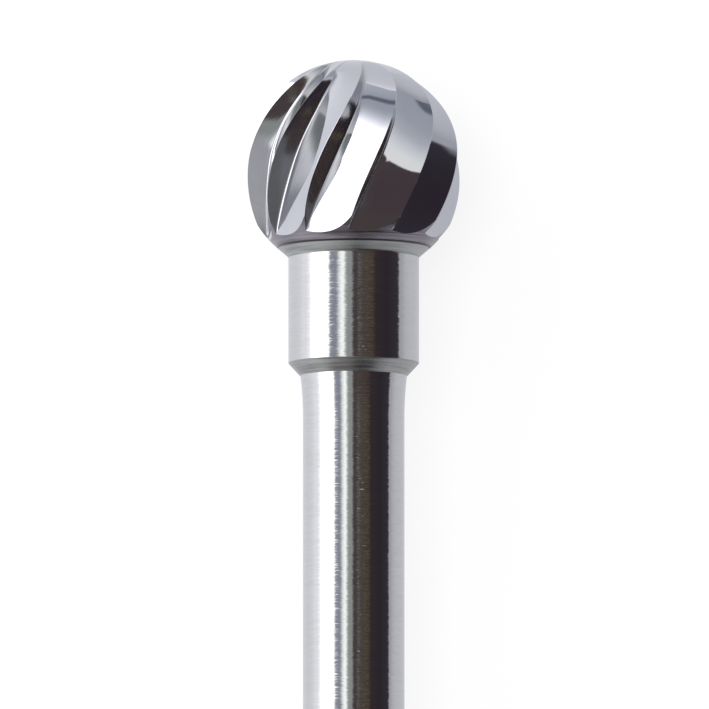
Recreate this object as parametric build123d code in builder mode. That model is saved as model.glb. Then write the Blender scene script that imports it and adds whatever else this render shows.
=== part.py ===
import os
from math import acos, asin, cos, degrees, radians, sin, sqrt

from build123d import *

# Ball burr for a handpiece: a fluted carbide ball, brazed flat on the flared neck of a steel shank.
# Sizes are in mm and angles in degrees. Both pieces are drawn upright about the burr's own axis, with
# the middle of the ball at the origin, the tip at +Z and a tooth's angle counted from the front (-Y)
# towards +X. At the end they are laid down together, as the burr comes to rest on a table.

# Ball
head_diameter = 5.0
joint_diameter = 3.55  # flat back of the ball, where it is brazed to the shank

# Heel and teeth. Lengths, heights and growths are in ball radii, so they follow the ball's size.
heel_stand = 0.068  # how far the bare heel's arc stands outside the cutting sphere
heel_centre_height = 0.052
grinding_allowance = 0.004  # what the blank's dome has over the finished teeth
tooth_count = 12
first_tooth_angle = 15.0  # two neighbouring cutting edges straddle the underside of the lying burr
helix_turn = 26.25  # turn of a cutting edge for each radius of height at the middle of the ball
helix_curl = 5.0  # growth of that turn towards the tip
lower_edge_growth = 0.384  # the edges' arc below the middle is this much larger than the ball's
land_relief = 20.0  # slope of the land behind each cutting edge, at the middle and above it
land_relief_fall = 6.0  # how much that slope falls for each radius of depth below the middle
land_end_latitude = 84.3
land_clearance = 0.4  # keeps the lands' grinding just clear of the rake faces that the flutes leave

# Flutes, in ball radii too
flute_depth = 0.188
land_height = 0.004  # the flute's flat floor runs up to this far over the next edge and leaves a fine land
root_lead = 5.3  # the root lies this far ahead of the cutting edge that the flute serves
root_lead_gain = 5.6
root_lead_fade = 6.5
root_fillet = 0.04
least_rake_height = 0.048  # the rake keeps the slope that it has at this height as a flute runs out
long_root_growth = 0.12  # root arcs towards the tip, larger than the ball's, so the flutes run out
short_root_growth = 0.32
heel_root_arc = 15.0
cutter_foot_latitude = -48.25  # the cutters start below the place where the flutes leave the heel
cutter_margin = 0.08  # how far a cutter reaches out of the cutting sphere
section_count = 9

# Shank
shank_diameter = 2.35
overall_length = 44.5
flare_height = 0.22
flare_fillet = 0.1  # hollow between the flare and the collar
collar_diameter = 3.03
collar_length = 2.48
shoulder_height = 0.3
shoulder_end_diameter = 2.47
shoulder_fillet = 0.06
neck_taper_length = 1.06
neck_taper_arc = 8.2
shank_end_chamfer = 0.25

# Worked out from the sizes above
head_radius = head_diameter / 2
tooth_pitch = 360 / tooth_count
heel_radius = head_radius * (1 + heel_stand)
heel_centre = head_radius * heel_centre_height
blank_radius = head_radius * (1 + grinding_allowance)
band_height = heel_centre - sqrt(heel_radius**2 - blank_radius**2)
joint_radius = joint_diameter / 2
joint_height = heel_centre - sqrt(heel_radius**2 - joint_radius**2)
collar_radius = collar_diameter / 2
collar_top = joint_height - flare_height
collar_bottom = collar_top - collar_length
shoulder_bottom = collar_bottom - shoulder_height
taper_bottom = shoulder_bottom - neck_taper_length
shank_radius = shank_diameter / 2
shank_end = head_radius - overall_length


def edge_radius(height):
    """Distance of the cutting edges from the axis: the ball's arc above its middle, a flatter one below."""
    arc = 1 if height > 0 else 1 + lower_edge_growth
    return 1 - arc + sqrt(arc**2 - height**2)


def root_radius(height, root_growth):
    """Distance of a flute's root from the axis: an arc that leaves the ball near the tip and the heel."""
    arc = 1 + root_growth if height > 0 else heel_root_arc
    return 1 - flute_depth - arc + sqrt(arc**2 - height**2)


def root_top_latitude(root_growth):
    """Latitude at which the root's upper arc leaves the ball."""
    arc = 1 + root_growth
    arc_centre = arc - 1 + flute_depth
    return degrees(acos((arc**2 - 1 - arc_centre**2) / (2 * arc_centre)))


def edge_angle(height):
    """Turn of the first cutting edge at a height: a right-hand helix that tightens towards the tip."""
    return first_tooth_angle + helix_turn * height + helix_curl * height**2


def lead_angle(height):
    """How far a flute's root runs ahead of its cutting edge."""
    return root_lead + root_lead_gain * height - root_lead_fade * height**2


def on_section(radius, angle):
    """Point of a level section at a distance from the axis and an angle from the front."""
    return head_radius * Vector(radius * sin(radians(angle)), -radius * cos(radians(angle)))


def beyond(start, end):
    """Point past the end of a line, in line with it, clear of the cutting sphere."""
    return end + (end - start).normalized() * cutter_margin * head_radius


def land_radius(height, angle):
    """Distance from the axis of the flat land that ends in the next cutting edge."""
    next_edge = edge_angle(height) + tooth_pitch
    slope = land_relief + land_relief_fall * min(height, 0)
    flat = edge_radius(height) * cos(radians(slope))
    return flat / cos(radians(next_edge - slope - angle))


def land_points(height):
    """Level section of the space over one land: its foot at the rake face, then three points outside."""
    edge = edge_angle(height)
    rim = edge_radius(height)
    foot_angle = edge + land_clearance + lead_angle(height) / 2
    foot = on_section(land_radius(height, foot_angle), foot_angle)
    land_out = beyond(foot, on_section(rim, edge + tooth_pitch))
    outside = on_section(rim + 2 * cutter_margin, edge + tooth_pitch / 2)
    rake_out = beyond(foot, on_section(rim, edge + land_clearance))
    return [foot, land_out, outside, rake_out]


def flute_points(height, root_growth):
    """Level section of one flute: its root, the end of its floor past the next edge, and the rake's end."""
    edge = edge_angle(height)
    rim = edge_radius(height)
    root_angle = edge + lead_angle(height)
    root_distance = root_radius(height, root_growth)
    root = on_section(root_distance, root_angle)
    floor_end = beyond(root, on_section(rim + land_height, edge + tooth_pitch))
    rake_slope = lead_angle(height) / max(rim - root_distance, least_rake_height)
    rake_out = on_section(rim + cutter_margin, edge - rake_slope * cutter_margin)
    return [root, floor_end, rake_out]


def lofted_cutter(section_points, top_latitude, corner_radius):
    """Solid through level sections from the heel up to a latitude, with the first corner rounded."""
    with BuildPart() as cutter:
        for step in range(section_count):
            share = step / (section_count - 1)
            height = sin(radians(cutter_foot_latitude + share * (top_latitude - cutter_foot_latitude)))
            points = section_points(height)
            with BuildSketch(Plane.XY.offset(height * head_radius)) as section:
                with BuildLine():
                    Polyline(*points, close=True)
                make_face()
                if corner_radius > 0:
                    corner = Vector(points[0].X, points[0].Y, height * head_radius)
                    fillet(section.vertices().sort_by_distance(corner)[0], corner_radius * head_radius)
        loft()
    return cutter.part


def flute_cutter(root_growth):
    """Cutter of one flute whose root runs out towards the tip with the given growth of its arc."""
    top_latitude = root_top_latitude(root_growth)
    return lofted_cutter(lambda height: flute_points(height, root_growth), top_latitude, root_fillet)


# Carbide head: the ground blank, then the lands, then the flutes, long and short ones in turn
land_cutter = lofted_cutter(land_points, land_end_latitude, 0)
long_flute = flute_cutter(long_root_growth)
short_flute = flute_cutter(short_root_growth)
with BuildPart() as carbide_head:
    with BuildSketch(Plane.XZ):
        with BuildLine():
            dome = CenterArc((0, 0), blank_radius, 0, 90)
            band = Line(dome @ 0, (blank_radius, band_height))
            heel = RadiusArc(band @ 1, (joint_radius, joint_height), heel_radius)
            Polyline(heel @ 1, (0, joint_height), dome @ 1)
        make_face()
    revolve(axis=Axis.Z)
    with PolarLocations(0, tooth_count):
        add(land_cutter, mode=Mode.SUBTRACT)
    with PolarLocations(0, tooth_count // 2):
        add(short_flute, mode=Mode.SUBTRACT)
    with PolarLocations(0, tooth_count // 2, start_angle=tooth_pitch):
        add(long_flute, mode=Mode.SUBTRACT)

# Steel shank: flared neck, collar, shoulder, a short concave taper and the plain cylinder
with BuildPart() as steel_shank:
    with BuildSketch(Plane.XZ):
        with BuildLine():
            top = Line((0, joint_height), (joint_radius, joint_height))
            flare = Line(top @ 1, (collar_radius, collar_top))
            collar = Line(flare @ 1, (collar_radius, collar_bottom))
            shoulder = Line(collar @ 1, (shoulder_end_diameter / 2, shoulder_bottom))
            taper = RadiusArc(shoulder @ 1, (shank_radius, taper_bottom), -neck_taper_arc)
            plain = Line(taper @ 1, (shank_radius, shank_end))
            Polyline(plain @ 1, (0, shank_end), top @ 0)
        outline = make_face()
        fillet(outline.vertices().sort_by_distance(flare @ 1)[0], flare_fillet)
        fillet(outline.vertices().sort_by_distance(collar @ 1)[0], shoulder_fillet)
        chamfer(outline.vertices().sort_by_distance(plain @ 1)[0], shank_end_chamfer)
    revolve(axis=Axis.Z)

carbide_head.part.label = "carbide_head"
steel_shank.part.label = "steel_shank"

# Laid down: the tip points along +Y, the front of the burr is up, and the axis drops from the ball to
# the end of the shank, because the ball is the thicker of the two.
edge_offset = degrees(asin(sin(radians(tooth_pitch / 2)) * cos(radians(helix_turn))))
resting_radius = head_radius * cos(radians(edge_offset))
resting_span = overall_length - head_radius - shank_end_chamfer
axis_drop = degrees(asin((resting_radius - shank_radius) / resting_span))
lying = Pos(0, 0, resting_radius) * Rot(-90 + axis_drop, 0, 0)
for piece in (carbide_head, steel_shank):
    piece.part.move(lying)
middle = (carbide_head.part.bounding_box().max.Y + steel_shank.part.bounding_box().min.Y) / 2
floor = min(carbide_head.part.bounding_box().min.Z, steel_shank.part.bounding_box().min.Z)
for piece in (carbide_head, steel_shank):
    piece.part.move(Pos(0, -middle, -floor))

os.makedirs("parts", exist_ok=True)
export_step(carbide_head.part, "parts/carbide_head.step")
export_step(steel_shank.part, "parts/steel_shank.step")
print("axis drop", round(axis_drop, 3), "resting radius", round(resting_radius, 3))
print("head volume", round(carbide_head.part.volume, 3), "shank volume", round(steel_shank.part.volume, 3))
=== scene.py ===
import math

import bmesh
import bpy
from mathutils import Matrix, Vector


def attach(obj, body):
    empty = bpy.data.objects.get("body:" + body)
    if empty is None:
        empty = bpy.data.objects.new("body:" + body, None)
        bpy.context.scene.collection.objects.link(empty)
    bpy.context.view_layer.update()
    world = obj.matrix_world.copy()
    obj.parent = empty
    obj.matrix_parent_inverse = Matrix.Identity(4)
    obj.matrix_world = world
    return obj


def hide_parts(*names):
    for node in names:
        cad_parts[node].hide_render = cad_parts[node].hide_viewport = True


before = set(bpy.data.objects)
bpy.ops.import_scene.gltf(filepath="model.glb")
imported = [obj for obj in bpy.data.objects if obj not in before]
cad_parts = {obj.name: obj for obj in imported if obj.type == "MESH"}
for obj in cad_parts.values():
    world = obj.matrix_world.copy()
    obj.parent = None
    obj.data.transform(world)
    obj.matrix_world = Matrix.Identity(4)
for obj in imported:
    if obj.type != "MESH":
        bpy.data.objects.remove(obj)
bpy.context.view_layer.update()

# Both pieces are made upright about the burr's own axis, in mm, with the middle of the ball at the
# origin and the front of the burr at -Y, and then laid down where the CAD has them.
lie = {
    "ballMiddle": (0.0, 19.753737, 2.441534),
    "axisDrop": 1.724916,  # degrees, from the ball down to the end of the shank
    "millimetre": 0.001,
}

head = {
    "radius": 2.5,
    # lengths from here on are in ball radii and angles in degrees, as they are in the CAD
    "heelStand": 0.068,
    "heelCentre": 0.052,
    "allowance": 0.004,
    "teeth": 12,
    "firstTooth": 15.0,
    "helixTurn": 26.25,
    "helixCurl": 5.0,
    "lowerEdgeGrowth": 0.384,
    "landRelief": 20.0,
    "landReliefFall": 6.0,
    "landEnd": 84.3,
    "landClearance": 0.4,
    "fluteDepth": 0.188,
    "landHeight": 0.0015,
    "lead": (5.3, 5.6, -6.5),
    "leastLead": -2.5,
    "rootFillet": 0.024,
    "filletShare": 0.6,  # of the faces beside it, the most that the root's rounding takes
    "leastCorner": 0.3,  # radians, for the same rounding
    "shortGrowth": 0.32,
    "longGrowth": 0.12,
    "heelRootArc": 15.0,
    "runOutDepth": 0.03,
    "jointRadius": 0.71,
    # columns of the mesh from one cutting edge to the next, and its rows from heel to tip
    "columns": {"rake": 4, "root": 6, "floor": 5, "gap": 2, "land": 4, "heel": 7},
    "heelRows": 24,
    "runOutRows": 18,
    "runOutFrom": -0.64,
    "runOutHeight": 0.14,
    "toothRows": 134,
    "teethFrom": -30,
    "capRows": 5,
    "finishOf": {"rake": "rake", "root": "rake", "floor": "floor", "gap": "heel", "land": "land", "heel": "heel"},
    "sharpFrom": 5,  # where two finishes meet
    "foldFrom": 50,  # anywhere
    "mergeWithin": 0.0006,  # mm
    "dissolveWithin": 0.0004,
}


def onSection(radius, angle):
    return Vector((radius * math.sin(math.radians(angle)), -radius * math.cos(math.radians(angle))))


def angleOf(point):
    return math.degrees(math.atan2(point.x, -point.y))


def edgeRadius(height):
    arc = 1 if height > 0 else 1 + head["lowerEdgeGrowth"]
    return 1 - arc + math.sqrt(arc**2 - height**2)


def rootRadius(height, growth):
    arc = 1 + growth if height > 0 else head["heelRootArc"]
    return 1 - head["fluteDepth"] - arc + math.sqrt(arc**2 - height**2)


def blankRadius(height):
    heelArc = 1 + head["heelStand"]
    dome = 1 + head["allowance"]
    if height > 0:
        return math.sqrt(max(dome**2 - height**2, 0))
    return min(dome, math.sqrt(heelArc**2 - (height - head["heelCentre"]) ** 2))


def edgeAngle(height):
    return head["firstTooth"] + head["helixTurn"] * height + head["helixCurl"] * height**2


def leadAngle(height):
    plain, gain, fade = head["lead"]
    return plain + gain * height + fade * height**2


def meetLines(normalA, flatA, normalB, flatB):
    # two lines of a section, each by the angle of its normal and its distance from the axis
    a, b = math.radians(normalA), math.radians(normalB)
    turn = math.sin(b - a)
    along = (flatB - flatA * math.cos(b - a)) / turn
    towards, across = onSection(1, normalA), onSection(1, normalA + 90)
    return towards * flatA + across * along


def onCircle(start, end, radius):
    # where a line of the section from outside to inside meets a circle about the axis
    step = end - start
    half = start.dot(step) / step.length_squared
    rest = (start.length_squared - radius**2) / step.length_squared
    return start + step * (-half - math.sqrt(max(half**2 - rest, 0)))


def fluteCorners(height, growth):
    # the corners of the level section from one cutting edge to the next, all in ball radii
    edge = edgeAngle(height)
    nextEdge = edge + 360 / head["teeth"]
    rim = edgeRadius(height)
    blank = blankRadius(height)
    lead = max(leadAngle(height), head["leastLead"])
    slope = head["landRelief"] + head["landReliefFall"] * min(height, 0)
    landNormal = nextEdge - slope
    landFlat = rim * math.cos(math.radians(slope))
    footAngle = edge + head["landClearance"] + lead / 2
    foot = onSection(landFlat / math.cos(math.radians(landNormal - footAngle)), footAngle)
    edgePoint = onSection(rim, edge)
    landEnd = onSection(rim, nextEdge)
    rootAngle = edge + lead
    root = rootRadius(height, growth)
    rootPoint = onSection(root, rootAngle)
    landOver = landFlat / math.cos(math.radians(landNormal - rootAngle)) - root
    if landOver > 0:
        # near its end a flute's root draws in to the foot of the land
        share = min(landOver / head["runOutDepth"], 1) if height > 0 else 1
        rootAngle = footAngle + (rootAngle - footAngle) * share
        rootPoint = onSection(root, rootAngle)
        # the flat floor runs from the root to just over the next edge
        over = onSection(rim + head["landHeight"], nextEdge)
        along = (over - rootPoint).normalized()
        floorNormal = angleOf(Vector((along.y, -along.x)))
        floorFlat = rootPoint.dot(onSection(1, floorNormal))
        ridge = meetLines(floorNormal, floorFlat, landNormal, landFlat)
    else:
        rootPoint = foot
        along = (landEnd - foot).normalized()
        ridge = foot.copy()
    if (ridge - rootPoint).dot(along) < 0:
        ridge = rootPoint.copy()
    up = (edgePoint - rootPoint).normalized()
    fillet = min(head["rootFillet"], max(landOver, 0))
    tangent = fillet / math.tan(max(up.angle(along), head["leastCorner"]) / 2)
    for side in (edgePoint, ridge):
        tangent = min(tangent, head["filletShare"] * (side - rootPoint).length)
    corners = {
        "edge": edgePoint,
        "rakeEnd": rootPoint + up * tangent,
        "floorStart": rootPoint + along * tangent,
        "floorEnd": ridge,
        "landStart": ridge.copy(),
        "landEnd": landEnd,
        "root": rootPoint,
    }
    if blank < rim:
        runOut(corners, blank, rootAngle, along)
    return corners


def runOut(corners, blank, rootAngle, along):
    # on the heel the ground faces run out into the blank
    rootPoint, ridge = corners["root"], corners["floorEnd"]
    if rootPoint.length >= blank:
        nearest = rootPoint - along * rootPoint.dot(along)
        if nearest.length >= blank or nearest.dot(rootPoint) < 0:
            for name in corners:
                corners[name] = onSection(blank, rootAngle)
            return
        reach = math.sqrt(blank**2 - nearest.length_squared)
        for name in ("edge", "rakeEnd", "floorStart", "root"):
            corners[name] = nearest - along * reach
        far = nearest + along * reach
    else:
        corners["edge"] = onCircle(corners["edge"], rootPoint, blank)
        if corners["rakeEnd"].length > blank:
            corners["rakeEnd"] = corners["edge"].copy()
        if corners["floorStart"].length > blank:
            corners["floorStart"] = rootPoint.copy()
        far = onCircle(ridge + along, rootPoint, blank)
    if ridge.length > blank:
        for name in ("floorEnd", "landStart", "landEnd"):
            corners[name] = far
    else:
        corners["landEnd"] = onCircle(corners["landEnd"] * 2 - ridge, ridge, blank)


def between(start, end, count):
    return [start.lerp(end, step / count) for step in range(count)]


def rootCurve(corners, count):
    start, middle, end = corners["rakeEnd"], corners["root"], corners["floorStart"]
    points = []
    for step in range(count):
        share = step / count
        points.append(start * (1 - share) ** 2 + middle * 2 * share * (1 - share) + end * share**2)
    return points


def aroundAxis(start, end, count):
    first, last = angleOf(start), angleOf(end)
    if last < first - 180:
        last += 360
    radius = start.length
    return [onSection(radius, first + (last - first) * step / count) for step in range(count)]


def fluteSection(height, growth, nextGrowth):
    corners = fluteCorners(height, growth)
    following = fluteCorners(height, nextGrowth)
    pitch = 360 / head["teeth"]
    nextEdge = onSection(following["edge"].length, angleOf(following["edge"]) + pitch)
    columns = head["columns"]
    points = between(corners["edge"], corners["rakeEnd"], columns["rake"])
    points += rootCurve(corners, columns["root"])
    points += between(corners["floorStart"], corners["floorEnd"], columns["floor"])
    points += aroundAxis(corners["floorEnd"], corners["landStart"], columns["gap"])
    points += between(corners["landStart"], corners["landEnd"], columns["land"])
    points += aroundAxis(corners["landEnd"], nextEdge, columns["heel"])
    return points


def jointHeight():
    heelArc = 1 + head["heelStand"]
    return head["heelCentre"] - math.sqrt(heelArc**2 - head["jointRadius"] ** 2)


def headRows():
    # heights of the rows in ball radii, close together where the ground faces run out on the heel
    joint, runOutFrom, teethFrom = jointHeight(), head["runOutFrom"], head["teethFrom"]
    rows = [joint + (runOutFrom - joint) * step / head["heelRows"] for step in range(head["heelRows"])]
    rows += [runOutFrom + head["runOutHeight"] * step / head["runOutRows"] for step in range(head["runOutRows"])]
    for step in range(head["toothRows"] + 1):
        latitude = teethFrom + (head["landEnd"] - teethFrom) * step / head["toothRows"]
        rows.append(math.sin(math.radians(latitude)))
    return rows


def sectionsUpwards():
    # one short and one long flute side by side, row by row
    rows = []
    for height in headRows():
        first = fluteSection(height, head["shortGrowth"], head["longGrowth"])
        second = fluteSection(height, head["longGrowth"], head["shortGrowth"])
        pitch = 360 / head["teeth"]
        turned = [onSection(p.length, angleOf(p) + pitch) for p in second]
        closing = onSection(first[0].length, angleOf(first[0]) + 2 * pitch)
        rows.append([(p.x, p.y, height) for p in first + turned + [closing]])
    top = rows[-1]
    topHeight = top[0][2]
    # a low cap over the middle of the tip
    peak = 1 + head["allowance"]
    rim = math.sqrt(1 - topHeight**2)
    for step in range(head["capRows"] + 1):
        share = 1 - step / head["capRows"]
        reach = rim * share
        height = topHeight + (peak - topHeight) * (1 - share**2)
        ring = []
        for x, y, _ in top:
            size = math.hypot(x, y)
            ring.append((x / size * reach, y / size * reach, height))
        rows.append(ring)
    return rows


def columnNames():
    names = []
    for name, count in head["columns"].items():
        names += [name] * count
    return names * 2


def sharpen(mesh, slots):
    # a ground face keeps a crisp border, but the hollow root flows into the floor
    shape = bmesh.new()
    shape.from_mesh(mesh)
    soft = {slots.index("rake"), slots.index("floor")}
    for edge in shape.edges:
        if len(edge.link_faces) != 2:
            continue
        sides = {face.material_index for face in edge.link_faces}
        turned = edge.calc_face_angle(0) > math.radians(head["sharpFrom"])
        edge.smooth = not (len(sides) == 2 and sides != soft and turned)
        if edge.calc_face_angle(0) > math.radians(head["foldFrom"]):
            edge.smooth = False
    shape.to_mesh(mesh)
    shape.free()


def makeHead():
    rows = sectionsUpwards()
    names = columnNames()
    columnCount, rowCount = len(names), len(rows) - 1
    bpy.ops.mesh.primitive_grid_add(x_subdivisions=columnCount, y_subdivisions=rowCount, size=2)
    sector = bpy.context.object
    sector.name = "groundHead"
    mesh = sector.data
    slots = ["land", "floor", "rake", "heel"]
    for name in slots:
        mesh.materials.append(finishes[name])
    capStart = rowCount - head["capRows"] - 1
    for face in mesh.polygons:
        column = int((face.center.x + 1) / 2 * columnCount)
        row = int((face.center.y + 1) / 2 * rowCount)
        finish = head["finishOf"][names[column]] if row < capStart else "land"
        face.material_index = slots.index(finish)
    places = [(round((v.co.x + 1) / 2 * columnCount), round((v.co.y + 1) / 2 * rowCount)) for v in mesh.vertices]
    # the pattern runs from each flute's cutting edge, and up the ball, in mm
    grain = mesh.uv_layers[0]
    for loop in mesh.loops:
        column, row = places[loop.vertex_index]
        x, y, z = rows[row][column]
        here = Vector((x, y, 0)) * head["radius"]
        firstPoint = Vector((rows[row][0][0], rows[row][0][1], 0)) * head["radius"]
        grain.data[loop.index].uv = ((here - firstPoint).length, math.asin(max(-1, min(1, z))) * head["radius"])
    for vertex, (column, row) in zip(mesh.vertices, places):
        vertex.co = Vector(rows[row][column]) * head["radius"]
    bpy.ops.object.mode_set(mode="EDIT")
    bpy.ops.mesh.select_all(action="SELECT")
    bpy.ops.mesh.spin(steps=head["teeth"] // 2, dupli=True, angle=math.tau, center=(0, 0, 0), axis=(0, 0, 1))
    bpy.ops.mesh.select_all(action="SELECT")
    bpy.ops.mesh.remove_doubles(threshold=head["mergeWithin"])
    bpy.ops.mesh.dissolve_degenerate(threshold=head["dissolveWithin"])
    bpy.ops.mesh.select_all(action="DESELECT")
    bpy.ops.mesh.select_non_manifold()
    bpy.ops.mesh.edge_face_add()
    bpy.ops.mesh.select_all(action="SELECT")
    bpy.ops.mesh.normals_make_consistent(inside=False)
    bpy.ops.object.mode_set(mode="OBJECT")
    bpy.ops.object.shade_smooth()
    sharpen(mesh, slots)
    return sector


shank = {
    "jointRadius": 1.775,
    "flareHeight": 0.22,
    "flareHollow": 0.1,
    "collarRadius": 1.515,
    "collarLength": 2.48,
    "shoulderHeight": 0.3,
    "shoulderRadius": 1.235,
    "shoulderEase": 0.06,
    "taperLength": 1.06,
    "taperArc": 8.2,
    "radius": 1.175,
    "end": -42.0,
    "endChamfer": 0.25,
    "turnedFrom": 0.25,  # faces that slope more than this are turned, the others ground
    "sides": 192,
    "hollowSteps": 8,
    "easeSteps": 6,
    "taperSteps": 10,
    "mergeWithin": 0.0002,
    "smoothBelow": 20,  # degrees
}


def arcStations(centre, radius, start, end, count):
    # points of an arc the short way round from one place of an outline to another
    first = math.atan2(start[1] - centre.y, start[0] - centre.x)
    turn = math.atan2(end[1] - centre.y, end[0] - centre.x) - first
    turn = (turn + math.pi) % math.tau - math.pi
    stations = []
    for step in range(count + 1):
        angle = first + turn * step / count
        stations.append((centre.x + radius * math.cos(angle), centre.y + radius * math.sin(angle)))
    return stations


def filletStations(before, corner, after, radius, count):
    # rounds one corner of an outline of (radius, height) points
    a = (Vector(before) - Vector(corner)).normalized()
    b = (Vector(after) - Vector(corner)).normalized()
    half = a.angle(b) / 2
    reach = radius / math.tan(half)
    centre = Vector(corner) + (a + b).normalized() * radius / math.sin(half)
    return arcStations(centre, radius, Vector(corner) + a * reach, Vector(corner) + b * reach, count)


def shankStations():
    joint = jointHeight() * head["radius"]
    collarTop = joint - shank["flareHeight"]
    collarBottom = collarTop - shank["collarLength"]
    shoulderBottom = collarBottom - shank["shoulderHeight"]
    taperBottom = shoulderBottom - shank["taperLength"]
    flareTop = (shank["jointRadius"], joint)
    collar = (shank["collarRadius"], collarTop)
    shoulder = (shank["collarRadius"], collarBottom)
    shoulderEnd = (shank["shoulderRadius"], shoulderBottom)
    taperEnd = (shank["radius"], taperBottom)
    stations = [flareTop]
    stations += filletStations(flareTop, collar, shoulder, shank["flareHollow"], shank["hollowSteps"])
    stations += filletStations(collar, shoulder, shoulderEnd, shank["shoulderEase"], shank["easeSteps"])
    # the taper is a hollow arc through both its ends
    chord = Vector(taperEnd) - Vector(shoulderEnd)
    middle = (Vector(taperEnd) + Vector(shoulderEnd)) / 2
    outward = Vector((-chord.y, chord.x)).normalized()
    centre = middle + outward * math.sqrt(shank["taperArc"] ** 2 - (chord.length / 2) ** 2)
    stations += arcStations(centre, shank["taperArc"], shoulderEnd, taperEnd, shank["taperSteps"])
    chamferTop = (shank["radius"], shank["end"] + shank["endChamfer"])
    chamferEnd = (shank["radius"] - shank["endChamfer"], shank["end"])
    return stations + [chamferTop, chamferEnd]


def makeShank():
    top, *stations = shankStations()
    bpy.ops.mesh.primitive_circle_add(vertices=shank["sides"], radius=top[0], location=(0, 0, top[1]), fill_type="NGON")
    piece = bpy.context.object
    piece.name = "groundShank"
    piece.data.materials.append(finishes["shank"])
    piece.data.materials.append(finishes["turned"])
    bpy.ops.object.mode_set(mode="EDIT")
    bpy.ops.mesh.select_mode(type="EDGE")
    bpy.ops.mesh.select_all(action="DESELECT")
    bpy.ops.object.mode_set(mode="OBJECT")
    for edge in piece.data.edges:
        edge.select = True
    bpy.ops.object.mode_set(mode="EDIT")
    radius, height = top
    for nextRadius, nextHeight in stations:
        bpy.ops.mesh.extrude_edges_move(TRANSFORM_OT_translate={"value": (0, 0, nextHeight - height)})
        grow = nextRadius / radius
        bpy.ops.transform.resize(value=(grow, grow, 1), center_override=(0, 0, 0))
        radius, height = nextRadius, nextHeight
    bpy.ops.mesh.edge_face_add()
    bpy.ops.mesh.select_all(action="SELECT")
    bpy.ops.mesh.remove_doubles(threshold=shank["mergeWithin"])
    bpy.ops.mesh.normals_make_consistent(inside=False)
    bpy.ops.object.mode_set(mode="OBJECT")
    bpy.ops.object.shade_smooth_by_angle(angle=math.radians(shank["smoothBelow"]))
    for face in piece.data.polygons:
        if abs(face.normal.z) > shank["turnedFrom"]:
            face.material_index = 1
    return piece


def layDown(piece):
    # from upright in mm about the ball's middle to where the CAD has it, in metres
    bpy.ops.object.select_all(action="DESELECT")
    piece.select_set(True)
    bpy.context.view_layer.objects.active = piece
    turn = Matrix.Rotation(math.radians(lie["axisDrop"] - 90), 4, "X")
    place = Matrix.Translation(Vector(lie["ballMiddle"]) * lie["millimetre"])
    piece.matrix_world = place @ turn @ Matrix.Scale(lie["millimetre"], 4) @ piece.matrix_world
    bpy.ops.object.transform_apply(location=True, rotation=True, scale=True)


def mathNode(tree, operation, *values):
    node = tree.nodes.new("ShaderNodeMath")
    node.operation = operation
    for socket, value in zip(node.inputs, values):
        if isinstance(value, (int, float)):
            socket.default_value = value
        else:
            tree.links.new(value, socket)
    return node.outputs[0]


def mixColours(tree, share, first, second):
    node = tree.nodes.new("ShaderNodeMix")
    node.data_type = "RGBA"
    for socket, value in ((node.inputs["Factor"], share), (node.inputs["A"], first), (node.inputs["B"], second)):
        if isinstance(value, tuple):
            socket.default_value = (*value, 1)
        elif isinstance(value, (int, float)):
            socket.default_value = value
        else:
            tree.links.new(value, socket)
    return node.outputs["Result"]


def steps(tree, value, low, high):
    # eases from 0 to 1 between two values
    node = tree.nodes.new("ShaderNodeMapRange")
    node.interpolation_type = "SMOOTHSTEP"
    tree.links.new(value, node.inputs["Value"])
    for name, limit in (("From Min", low), ("From Max", high)):
        if isinstance(limit, (int, float)):
            node.inputs[name].default_value = limit
        else:
            tree.links.new(limit, node.inputs[name])
    return node.outputs["Result"]


def rampOf(tree, share, stops, place):
    # colours or values at given places of a share from 0 to 1
    node = tree.nodes.new("ShaderNodeValToRGB")
    tree.links.new(share, node.inputs[0])
    elements = node.color_ramp.elements
    for number, (key, colour) in enumerate(stops.items()):
        spot = place(key)
        stop = elements[number] if number < 2 else elements.new(spot)
        stop.position = spot
        stop.color = (*colour, 1) if isinstance(colour, tuple) else (colour, colour, colour, 1)
    return node.outputs["Color"]


def placeAlongBurr(tree):
    # position in mm, turned so that its Y runs along the burr's own axis from the middle of the ball
    where = tree.nodes.new("ShaderNodeTexCoord")
    place = tree.nodes.new("ShaderNodeMapping")
    place.vector_type = "TEXTURE"
    place.inputs["Location"].default_value = [part * lie["millimetre"] for part in lie["ballMiddle"]]
    place.inputs["Rotation"].default_value = (math.radians(lie["axisDrop"]), 0, 0)
    place.inputs["Scale"].default_value = [lie["millimetre"]] * 3
    tree.links.new(where.outputs["Object"], place.inputs["Vector"])
    return place.outputs["Vector"]


def noiseAt(tree, place, stretch, detail=3.0):
    # noise with so many features in a mm across and along the burr
    scaled = tree.nodes.new("ShaderNodeVectorMath")
    scaled.operation = "MULTIPLY"
    tree.links.new(place, scaled.inputs[0])
    scaled.inputs[1].default_value = stretch
    noise = tree.nodes.new("ShaderNodeTexNoise")
    noise.inputs["Scale"].default_value = 1
    noise.inputs["Detail"].default_value = detail
    tree.links.new(scaled.outputs[0], noise.inputs["Vector"])
    return noise.outputs["Fac"]


def bumpOf(tree, height, distance, under=None):
    bump = tree.nodes.new("ShaderNodeBump")
    bump.inputs["Strength"].default_value = 1
    bump.inputs["Distance"].default_value = distance * lie["millimetre"]
    tree.links.new(height, bump.inputs["Height"])
    if under:
        tree.links.new(under, bump.inputs["Normal"])
    return bump.outputs["Normal"]


# what all the ground faces and all the turned faces share; the numbers of a noise are its features in a mm
groundGrain = {
    "cloud": (2.2, 1.1, 2.2),
    "wave": (0.9, 0.9, 0.9),
    "scratches": (70, 2.5, 1),
    "scratchSpan": (0.35, 0.75),
}

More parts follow.
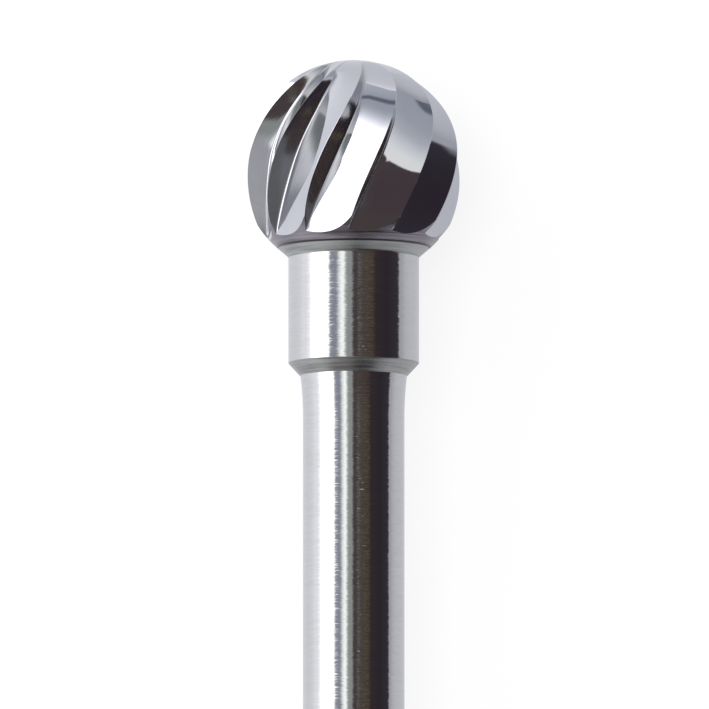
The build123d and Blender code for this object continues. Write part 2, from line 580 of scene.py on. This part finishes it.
turnedGrain = {
    "cloud": (0.8, 0.35, 0.8),
    "cloudSpan": (0.4, 0.7),
    "cloudShare": 0.35,
    "coarseAround": 0.35,
    "fineShare": 0.6,
    "coarseShare": 0.4,
    "lineSpan": (0.38, 0.62),
}


def groundMirror(name, values):
    # a ground face: a mirror near the cutting edge, a little duller towards the root
    material = bpy.data.materials.new(name)
    material.use_nodes = True
    tree = material.node_tree
    shader = tree.nodes["Principled BSDF"]
    shader.inputs["Metallic"].default_value = 1
    place = placeAlongBurr(tree)
    cloud = noiseAt(tree, place, groundGrain["cloud"])
    colour = mixColours(tree, cloud, values["colour"], values["otherColour"])
    along = tree.nodes.new("ShaderNodeUVMap")
    split = tree.nodes.new("ShaderNodeSeparateXYZ")
    tree.links.new(along.outputs["UV"], split.inputs[0])
    crisp = steps(tree, split.outputs["X"], *values["crispFrom"])
    scratches = noiseAt(tree, along.outputs["UV"], groundGrain["scratches"], 2.0)
    marks = steps(tree, scratches, *groundGrain["scratchSpan"])
    rough = mathNode(tree, "MULTIPLY_ADD", marks, values["streaks"], values["roughness"])
    dull = mathNode(tree, "MULTIPLY", mathNode(tree, "SUBTRACT", 1.0, crisp), values["rootDullness"])
    tree.links.new(mathNode(tree, "ADD", rough, dull), shader.inputs["Roughness"])
    tree.links.new(colour, shader.inputs["Base Color"])
    wave = noiseAt(tree, place, groundGrain["wave"], 1.0)
    normal = bumpOf(tree, wave, values["waviness"])
    normal = bumpOf(tree, scratches, values["scratchDepth"], normal)
    tree.links.new(normal, shader.inputs["Normal"])
    return material


def turnedMetal(name, values):
    # a face with fine rings about the burr's axis, as turning and cylindrical grinding leave them
    material = bpy.data.materials.new(name)
    material.use_nodes = True
    tree = material.node_tree
    shader = tree.nodes["Principled BSDF"]
    shader.inputs["Metallic"].default_value = 1
    place = placeAlongBurr(tree)
    around = values["streaksPerMm"]
    fine = noiseAt(tree, place, (around, values["finePerMm"], around), 2.0)
    around = turnedGrain["coarseAround"]
    coarse = noiseAt(tree, place, (around, values["coarsePerMm"], around), 2.0)
    cloud = noiseAt(tree, place, turnedGrain["cloud"])
    fineRings = mathNode(tree, "MULTIPLY", fine, turnedGrain["fineShare"])
    coarseRings = mathNode(tree, "MULTIPLY", coarse, turnedGrain["coarseShare"])
    lines = steps(tree, mathNode(tree, "ADD", fineRings, coarseRings), *turnedGrain["lineSpan"])
    colour = mixColours(tree, lines, values["grooveColour"], values["colour"])
    clouds = mathNode(tree, "MULTIPLY", steps(tree, cloud, *turnedGrain["cloudSpan"]), turnedGrain["cloudShare"])
    colour = mixColours(tree, clouds, colour, values["cloudColour"])
    if values["seam"]:
        # the dark line of the brazed joint
        split = tree.nodes.new("ShaderNodeSeparateXYZ")
        tree.links.new(place, split.inputs[0])
        away = mathNode(tree, "ABSOLUTE", mathNode(tree, "SUBTRACT", split.outputs["Y"], seam["height"]))
        line = mathNode(tree, "SUBTRACT", 1.0, steps(tree, away, seam["core"], seam["halfWidth"]))
        colour = mixColours(tree, line, colour, seam["colour"])
    tree.links.new(colour, shader.inputs["Base Color"])
    rough = mathNode(tree, "MULTIPLY_ADD", lines, values["roughnessSpread"], values["roughness"])
    tree.links.new(rough, shader.inputs["Roughness"])
    normal = bumpOf(tree, coarse, values["coarseDepth"])
    normal = bumpOf(tree, fine, values["fineDepth"], normal)
    tree.links.new(normal, shader.inputs["Normal"])
    return material


seam = {"height": -1.8645, "core": 0.012, "halfWidth": 0.03, "colour": (0.06, 0.05, 0.055)}

surfaces = {
    "land": {
        "colour": (0.6, 0.61, 0.65),
        "otherColour": (0.66, 0.66, 0.69),
        "crispFrom": (0.3, 0.4),
        "roughness": 0.02,
        "streaks": 0.03,
        "rootDullness": 0.0,
        "waviness": 0.002,
        "scratchDepth": 0.00003,
    },
    "floor": {
        "colour": (0.6, 0.61, 0.65),
        "otherColour": (0.66, 0.66, 0.69),
        "crispFrom": (0.35, 0.6),
        "roughness": 0.025,
        "streaks": 0.03,
        "rootDullness": 0.08,
        "waviness": 0.002,
        "scratchDepth": 0.00005,
    },
    "rake": {
        "colour": (0.56, 0.56, 0.59),
        "otherColour": (0.66, 0.65, 0.66),
        "crispFrom": (0.5, 1.2),
        "roughness": 0.08,
        "streaks": 0.1,
        "rootDullness": 0.03,
        "waviness": 0.003,
        "scratchDepth": 0.0002,
    },
    "heel": {
        "colour": (0.34, 0.32, 0.35),
        "grooveColour": (0.2, 0.18, 0.2),
        "cloudColour": (0.42, 0.38, 0.42),
        "streaksPerMm": 0.9,
        "finePerMm": 16.0,
        "coarsePerMm": 5.0,
        "roughness": 0.2,
        "roughnessSpread": 0.12,
        "fineDepth": 0.0012,
        "coarseDepth": 0.004,
        "seam": True,
    },
    "shank": {
        "colour": (0.7, 0.7, 0.7),
        "grooveColour": (0.66, 0.66, 0.65),
        "cloudColour": (0.64, 0.65, 0.63),
        "streaksPerMm": 3.2,
        "finePerMm": 26.0,
        "coarsePerMm": 7.0,
        "roughness": 0.06,
        "roughnessSpread": 0.05,
        "fineDepth": 0.006,
        "coarseDepth": 0.005,
        "seam": False,
    },
    "turned": {
        "colour": (0.44, 0.45, 0.43),
        "grooveColour": (0.27, 0.27, 0.26),
        "cloudColour": (0.5, 0.5, 0.48),
        "streaksPerMm": 0.9,
        "finePerMm": 20.0,
        "coarsePerMm": 7.0,
        "roughness": 0.2,
        "roughnessSpread": 0.12,
        "fineDepth": 0.0016,
        "coarseDepth": 0.005,
        "seam": True,
    },
}

finishes = {
    "land": groundMirror("carbideLand", surfaces["land"]),
    "floor": groundMirror("carbideFloor", surfaces["floor"]),
    "rake": groundMirror("carbideRake", surfaces["rake"]),
    "heel": turnedMetal("carbideHeel", surfaces["heel"]),
    "shank": turnedMetal("groundSteel", surfaces["shank"]),
    "turned": turnedMetal("turnedSteel", surfaces["turned"]),
}

groundHead = makeHead()
print("head made", len(groundHead.data.polygons), "faces")
layDown(groundHead)
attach(groundHead, "root")
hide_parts("carbide_head")
groundShank = makeShank()
print("shank made", len(groundShank.data.polygons), "faces")
layDown(groundShank)
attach(groundShank, "root")
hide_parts("steel_shank")

# the white table, and the painted reflection that the burr's mirror faces see of it: light on the left and dark on the
# right
tableTop = {
    "size": 2,
    "colour": (0.9, 0.9, 0.91),
    "roughness": 0.7,
    "specular": 0.2,
    "white": (1.0, 1.0, 1.0),
    # painted reflection: to glossy rays the table glows light on its left and dark on its right, fitted to the
    # photograph as the room is
    "left": (0.97, 0.98, 1.04),
    "right": (0.36, 0.37, 0.415),
    "halfWidth": 0.03,
    "glow": 0.85,
}

bpy.ops.mesh.primitive_plane_add(size=tableTop["size"], location=(0, 0, 0))
table = bpy.context.object
table.name = "tableTop"

view = {
    "tilt": 6.0,  # the photograph looks at the ball from the shank's side of square
    "roll": 3.0,  # and a little from the right
    "pixelsPerMillimetre": 43.1,
    "ballPixel": (353.7, 167.8),
    "frame": 709,
    "distance": 400.0,
    "sensor": 36,
    "clip": (0.01, 10),
}


def setCamera():
    tilt, roll = math.radians(view["tilt"]), math.radians(view["roll"])
    front = Vector((math.sin(roll), -math.cos(roll), 0))
    fromBall = front * math.cos(tilt) - Vector((0, 0, 1)) * math.sin(tilt)
    up = Vector((0, 0, 1)) * math.cos(tilt) + front * math.sin(tilt)
    lay = Matrix.Rotation(math.radians(lie["axisDrop"] - 90), 3, "X")
    fromBall, up = lay @ fromBall, lay @ up
    right = up.cross(fromBall)
    scale = view["pixelsPerMillimetre"]
    across = (view["ballPixel"][0] - view["frame"] / 2) / scale
    down = (view["ballPixel"][1] - view["frame"] / 2) / scale
    place = Vector(lie["ballMiddle"]) + fromBall * view["distance"] - right * across + up * down
    lens = bpy.data.cameras.new("camera")
    lens.sensor_width = view["sensor"]
    lens.lens = view["sensor"] * view["distance"] / (view["frame"] / scale)
    lens.clip_start, lens.clip_end = view["clip"]
    camera = bpy.data.objects.new("camera", lens)
    bpy.context.collection.objects.link(camera)
    facing = Matrix((right, up, fromBall)).transposed().to_4x4()
    camera.matrix_world = Matrix.Translation(place * lie["millimetre"]) @ facing
    bpy.context.scene.camera = camera


setCamera()

# Directions round the burr, in degrees: turn is from the camera's side (0) to the right (90), and rise is
# towards the tip. A span with no degrees is a share of the room's height, from 0 at the burr's level to 1.
# The room holds a white box on the left, a narrow one beside it and a pale ceiling over the tip.
# It is fitted to one photograph and is no plain studio: the colours and the border were given after means and
# medians of that photograph's pixels by the direction that they reflect, and then corrected render by render.
studio = {
    # colour of the room by turn, at the level of the burr
    "room": {
        -90: (1.0, 1.02, 1.06),
        -80: (1.28, 1.28, 1.34),
        -74: (2.6, 2.6, 2.7),
        -44.5: (2.6, 2.6, 2.7),
        -41.5: (0.75, 0.76, 0.8),
        -38.5: (0.3, 0.32, 0.38),
        -27: (0.3, 0.32, 0.38),
        -23: (0.95, 0.97, 1.0),
        -15: (1.5, 1.52, 1.5),
        -11: (0.42, 0.46, 0.45),
        -6: (0.31, 0.34, 0.33),
        -2.5: (0.36, 0.39, 0.38),
        -0.5: (0.44, 0.45, 0.43),
        1: (0.1, 0.085, 0.09),
        3: (0.075, 0.056, 0.064),
        12: (0.085, 0.066, 0.066),
        25: (0.08, 0.06, 0.056),
        40: (0.045, 0.032, 0.036),
        65: (0.034, 0.027, 0.036),
        88: (0.045, 0.04, 0.05),
        90: (0.16, 0.15, 0.17),
    },
    # colour of the ceiling by rise
    "ceiling": {
        12: (1.1, 1.05, 1.0),
        30: (1.0, 1.02, 1.0),
        38: (0.8, 0.82, 0.86),
        46: (0.58, 0.6, 0.65),
        56: (0.46, 0.49, 0.55),
        68: (0.44, 0.47, 0.53),
        69.3: (0.16, 0.17, 0.22),
        71.2: (0.16, 0.17, 0.22),
        72.5: (0.45, 0.48, 0.54),
        85: (0.6, 0.63, 0.7),
    },
    # rise of the ceiling's lower border by turn
    "border": {
        -90: 52,
        -46: 50,
        -20: 30,
        0: 28,
        5: 25.7,
        9: 22.5,
        12: 19,
        30: 22,
        44: 26,
        49: 42,
        57: 42,
        63: 32,
        80: 36,
        90: 38,
    },
    "borderSoftness": (0.012, 0.05),
    "softerTurn": (20, 75),
    "ceilingTilt": 0.066,
    # the white box reaches higher than the border and fades out there
    "wideBox": {"left": (-82, -76), "right": (-40, -30), "from": (0.12, 0.3), "to": (0.66, 0.93)},
    "wideBoxColour": (2.6, 2.6, 2.7),
    # a dim stretch on the right, level with what the shank reflects
    "dimPatch": {11: (0.22, 0.23, 0.22), 16: (0.14, 0.145, 0.14), 20: (0.1, 0.085, 0.085), 25: (0.12, 0.1, 0.065)},
    "dimPatchSpan": {"left": (9.5, 12), "right": (38, 41), "from": (-0.01, 0.03), "to": (0.12, 0.16)},
    # a lighter stretch of the room towards the shank, and then its end
    "lowBand": {-90: (0.45, 0.45, 0.47), -20: (0.5, 0.52, 0.55), 15: (0.26, 0.27, 0.28), 45: (0.15, 0.155, 0.16)},
    "lowBandFrom": (0.465, 0.5),
    "shankSideFrom": (0.66, 0.82),
    "shankSide": {-90: (0.36, 0.34, 0.35), -20: (0.3, 0.29, 0.29), 20: (0.1, 0.1, 0.1), 90: (0.08, 0.085, 0.085)},
    "shadowLamp": {"place": (-0.05, 0.02, 0.5), "size": 0.35, "energy": 2.0},
}


def hangLamp():
    # a soft box over the burr for its shadow on the table
    values = studio["shadowLamp"]
    box = bpy.data.lights.new("overheadBox", "AREA")
    box.shape = "SQUARE"
    box.size = values["size"]
    box.energy = values["energy"]
    lamp = bpy.data.objects.new("overheadBox", box)
    bpy.context.collection.objects.link(lamp)
    lamp.location = values["place"]
    lamp.visible_camera = False
    lamp.visible_glossy = False


def byTurn(angle):
    # place in a ramp that runs from the left of the room over the camera's side to the right
    return (angle + 90) / 180


def byRise(angle):
    return math.sin(math.radians(angle))


def lessThan(tree, value, span):
    return mathNode(tree, "SUBTRACT", 1.0, steps(tree, value, *span))


def setRoom():
    world = bpy.data.worlds.new("studio")
    bpy.context.scene.world = world
    world.use_nodes = True
    tree = world.node_tree
    background = tree.nodes["Background"]
    where = tree.nodes.new("ShaderNodeTexCoord")
    split = tree.nodes.new("ShaderNodeSeparateXYZ")
    tree.links.new(where.outputs["Generated"], split.inputs[0])
    rise = split.outputs["Y"]
    turn = mathNode(tree, "ARCTAN2", split.outputs["X"], split.outputs["Z"])
    share = mathNode(tree, "ADD", mathNode(tree, "DIVIDE", turn, math.pi), 0.5)

    level = rampOf(tree, share, studio["room"], byTurn)
    wide = studio["wideBox"]
    boxRight = lessThan(tree, share, [byTurn(angle) for angle in wide["right"]])
    boxLeft = steps(tree, share, *(byTurn(angle) for angle in wide["left"]))
    inBox = mathNode(tree, "MULTIPLY", boxRight, boxLeft)
    inBox = mathNode(tree, "MULTIPLY", inBox, steps(tree, rise, *wide["from"]))
    level = mixColours(tree, inBox, level, studio["wideBoxColour"])

    span = studio["dimPatchSpan"]
    patchLeft = steps(tree, share, *(byTurn(angle) for angle in span["left"]))
    patchRight = lessThan(tree, share, [byTurn(angle) for angle in span["right"]])
    inPatch = mathNode(tree, "MULTIPLY", patchLeft, patchRight)
    inPatch = mathNode(tree, "MULTIPLY", inPatch, steps(tree, rise, *span["from"]))
    inPatch = mathNode(tree, "MULTIPLY", inPatch, lessThan(tree, rise, span["to"]))
    level = mixColours(tree, inPatch, level, rampOf(tree, share, studio["dimPatch"], byTurn))

    # the ceiling over its border, which is softer on the right
    tilted = mathNode(tree, "MULTIPLY_ADD", split.outputs["X"], studio["ceilingTilt"], rise)
    ceiling = rampOf(tree, tilted, studio["ceiling"], byRise)
    heights = {angle: byRise(value) for angle, value in studio["border"].items()}
    border = rampOf(tree, share, heights, byTurn)
    firm, soft = studio["borderSoftness"]
    softer = steps(tree, share, *(byTurn(angle) for angle in studio["softerTurn"]))
    blur = mathNode(tree, "MULTIPLY_ADD", softer, soft - firm, firm)
    over = steps(tree, rise, mathNode(tree, "SUBTRACT", border, blur), mathNode(tree, "ADD", border, blur))
    missing = mathNode(tree, "SUBTRACT", steps(tree, rise, *wide["to"]), over)
    over = mathNode(tree, "MULTIPLY_ADD", boxRight, missing, over)
    colour = mixColours(tree, over, level, ceiling)

    fall = mathNode(tree, "MULTIPLY", rise, -1.0)
    for name in ("lowBand", "shankSide"):
        under = rampOf(tree, share, studio[name], byTurn)
        colour = mixColours(tree, steps(tree, fall, *studio[name + "From"]), colour, under)
    rays = tree.nodes.new("ShaderNodeLightPath")
    colour = mixColours(tree, rays.outputs["Is Camera Ray"], colour, (1.0, 1.0, 1.0))
    tree.links.new(colour, background.inputs["Color"])


def setTable():
    # white to the camera apart from the burr's shadow; to glossy rays it glows with a painted reflection of light and
    # shade
    material = bpy.data.materials.new("whiteTable")
    material.use_nodes = True
    tree = material.node_tree
    output = tree.nodes["Material Output"]
    plain = tree.nodes["Principled BSDF"]
    plain.inputs["Base Color"].default_value = (*tableTop["colour"], 1)
    plain.inputs["Roughness"].default_value = tableTop["roughness"]
    plain.inputs["Specular IOR Level"].default_value = tableTop["specular"]
    rays = tree.nodes.new("ShaderNodeLightPath")
    where = tree.nodes.new("ShaderNodeTexCoord")
    split = tree.nodes.new("ShaderNodeSeparateXYZ")
    tree.links.new(where.outputs["Object"], split.inputs[0])
    # painted reflection: to glossy rays the table glows light on its left half and dark on its right half, so the burr
    # mirrors painted shade on the right
    across = steps(tree, split.outputs["X"], -tableTop["halfWidth"], tableTop["halfWidth"])
    paintedReflection = mixColours(tree, across, tableTop["left"], tableTop["right"])
    shown = mixColours(tree, rays.outputs["Is Camera Ray"], paintedReflection, tableTop["white"])
    glow = tree.nodes.new("ShaderNodeEmission")
    tree.links.new(shown, glow.inputs["Color"])
    seen = mathNode(tree, "MAXIMUM", rays.outputs["Is Camera Ray"], rays.outputs["Is Glossy Ray"])
    mixed = tree.nodes.new("ShaderNodeMixShader")
    tree.links.new(mathNode(tree, "MULTIPLY", seen, tableTop["glow"]), mixed.inputs["Fac"])
    tree.links.new(plain.outputs[0], mixed.inputs[1])
    tree.links.new(glow.outputs[0], mixed.inputs[2])
    tree.links.new(mixed.outputs[0], output.inputs["Surface"])
    table.data.materials.append(material)


hangLamp()
setRoom()
setTable()
bpy.context.scene.view_settings.view_transform = "Standard"
print("stage set")
